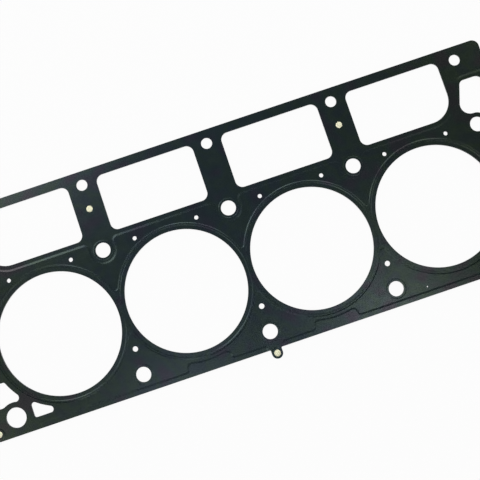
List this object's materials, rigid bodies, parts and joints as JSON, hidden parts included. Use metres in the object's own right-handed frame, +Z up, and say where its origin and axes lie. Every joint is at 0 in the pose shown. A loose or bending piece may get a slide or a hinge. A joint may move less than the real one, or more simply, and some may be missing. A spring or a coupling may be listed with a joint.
{
  "type": "cylinder head gasket",
  "caption": "Flat multi-layer steel cylinder head gasket for a bank of in-line bores, with beaded outer sheets, bolt holes, pushrod openings and coolant openings.",
  "frame": {"origin": "on the line of bore centres, midway along it, in the plane of the lower bead crests on which the gasket lies", "axes": "+X along the row of bores, +Y towards the pushrod openings, +Z up through the layers to the cylinder head"},
  "size_m": [0.495, 0.2034, 0.0022],
  "materials": {
    "coated_steel": "satin",
    "bare_steel": "satin",
    "rivet_brass": "satin"
  },
  "bodies": {
    "root": {"upper_beaded_layer": "coated_steel", "centre_spacer": "bare_steel", "lower_beaded_layer": "coated_steel", "rivets": "rivet_brass"}
  },
  "joints": []
}
